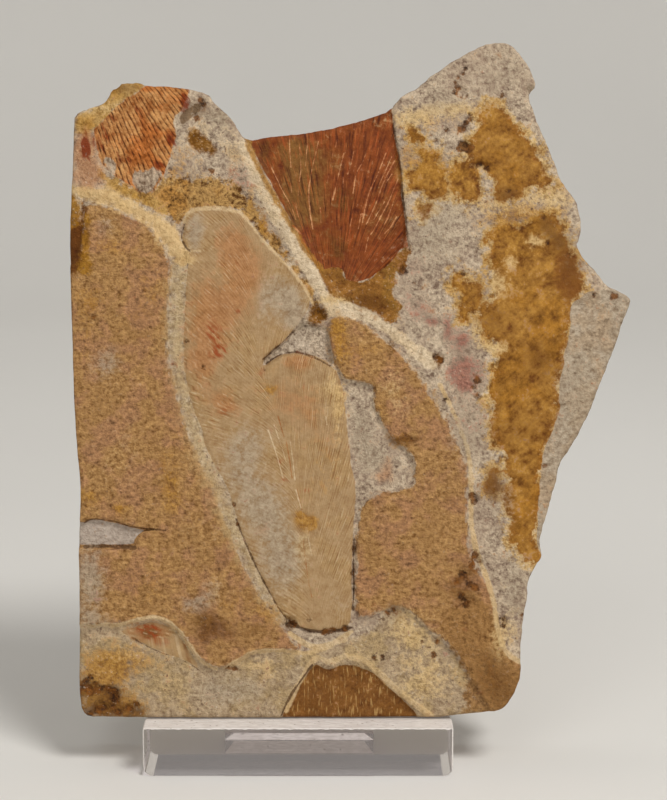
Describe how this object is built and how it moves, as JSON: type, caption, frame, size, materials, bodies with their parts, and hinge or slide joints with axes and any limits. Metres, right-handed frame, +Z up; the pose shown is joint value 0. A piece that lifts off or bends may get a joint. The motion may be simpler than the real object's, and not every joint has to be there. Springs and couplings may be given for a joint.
{
  "type": "fossil leaf slab on a clear stand",
  "caption": "Flat siltstone slab with glossopteris leaf imprints and broken edges, leaning back in a low clear plastic display stand with a rear support plate.",
  "frame": {"origin": "centre of the stand's underside", "axes": "+Z up, +Y away from the viewer of the leaf imprints, +X to that viewer's right"},
  "size_m": [0.1253, 0.0497, 0.1587],
  "materials": {
    "fossil_stone": "matt, fine-grained, in cream, brown, red and ochre",
    "clear_acrylic": "clear, polished faces with a frosted sawn top"
  },
  "bodies": {
    "root": {"fossil_slab": "fossil_stone", "stand_base": "clear_acrylic", "stand_back_rest": "clear_acrylic"}
  },
  "joints": []
}
